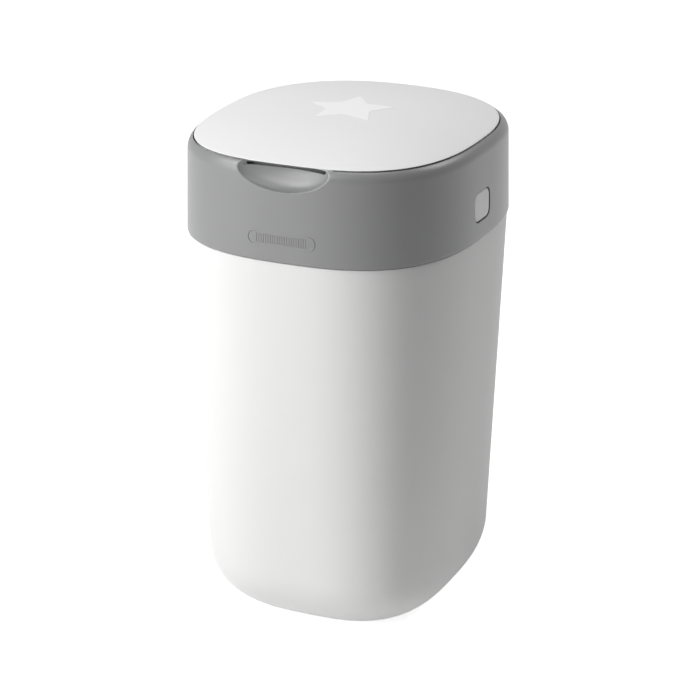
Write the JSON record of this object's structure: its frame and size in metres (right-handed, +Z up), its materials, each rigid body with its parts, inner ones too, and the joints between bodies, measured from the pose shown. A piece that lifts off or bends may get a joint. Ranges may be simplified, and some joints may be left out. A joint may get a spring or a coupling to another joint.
{
  "type": "nappy bin",
  "caption": "Tall rounded nappy bin with a tapered bucket, a tilting grey upper unit holding a twist ring and film cassette, and a domed lid with a finger scoop.",
  "frame": {"origin": "middle of the footprint of the whole bin, upper hinge barrel included, on the surface it stands on", "axes": "+Z up, -Y towards the finger scoop at the front, +Y towards the hinges at the rear"},
  "size_m": [0.2528, 0.289, 0.4421],
  "materials": {
    "bucket_plastic": "smooth satin white moulding",
    "collar_plastic": "matte mid grey moulding",
    "lid_plastic": "satin off-white moulding",
    "star_plastic": "smooth white",
    "button_plastic": "satin off-white",
    "deck_plastic": "plain light grey moulding",
    "twist_plastic": "satin blue-grey",
    "grip_plastic": "springy grey moulding",
    "cassette_plastic": "thin pale blue moulding",
    "film": "soft folded film",
    "foot_rubber": "matte dark grey rubber",
    "seal_rubber": "soft grey rubber",
    "pin_steel": "drawn wire",
    "screw_steel": "zinc plated",
    "spring_steel": "bright spring wire",
    "blade_steel": "ground edge"
  },
  "bodies": {
    "base": {"bucket": "bucket_plastic", "foot_front_left": "foot_rubber", "foot_front_right": "foot_rubber", "foot_rear_left": "foot_rubber", "foot_rear_right": "foot_rubber", "upper_hinge_pin": "pin_steel"},
    "upper_unit": {"collar": "collar_plastic", "inner_deck": "deck_plastic", "underside_plate": "deck_plastic", "deck_screws": "screw_steel", "plate_screws": "screw_steel", "film_grip": "grip_plastic", "lid_hinge_pin": "pin_steel", "latch_spring_left": "spring_steel", "latch_spring_right": "spring_steel"},
    "lid": {"lid_shell": "lid_plastic", "lid_liner": "deck_plastic", "lid_seal": "seal_rubber", "lid_star": "star_plastic", "liner_screws": "screw_steel"},
    "rotor": {"twist_ring": "twist_plastic", "cassette_cup": "deck_plastic", "cassette_tub": "cassette_plastic", "cassette_cap": "cassette_plastic", "film_pack": "film"},
    "latch_left": {"release_button_left": "button_plastic", "latch_slider_left": "deck_plastic"},
    "latch_right": {"release_button_right": "button_plastic", "latch_slider_right": "deck_plastic"},
    "cutter": {"cutter_slider": "twist_plastic", "cutter_blade": "blade_steel"}
  },
  "joints": [
    {"name": "upper_unit_tilt", "type": "hinge", "parent": "base", "child": "upper_unit", "pos_m": [0, 0.13954, 0.3466], "axis": [-1, 0, 0], "range_deg": [0, 100]},
    {"name": "lid_open", "type": "hinge", "parent": "upper_unit", "child": "lid", "pos_m": [0, 0.12615, 0.4235], "axis": [-1, 0, 0], "range_deg": [0, 100]},
    {"name": "cassette_twist", "type": "hinge", "parent": "upper_unit", "child": "rotor", "pos_m": [0, -0.0055, 0.38], "axis": [0, 0, 1], "continuous": true},
    {"name": "release_left", "type": "slide", "parent": "upper_unit", "child": "latch_left", "axis": [1, 0, 0], "range_m": [0, 0.004], "stiffness_N_per_m": 500, "springref_m": -0.004, "deforming": ["latch_spring_left"]},
    {"name": "release_right", "type": "slide", "parent": "upper_unit", "child": "latch_right", "axis": [-1, 0, 0], "range_m": [0, 0.004], "stiffness_N_per_m": 500, "springref_m": -0.004, "deforming": ["latch_spring_right"]},
    {"name": "cutter_slide", "type": "slide", "parent": "upper_unit", "child": "cutter", "axis": [1, 0, 0], "range_m": [-0.038, 0.038]}
  ]
}
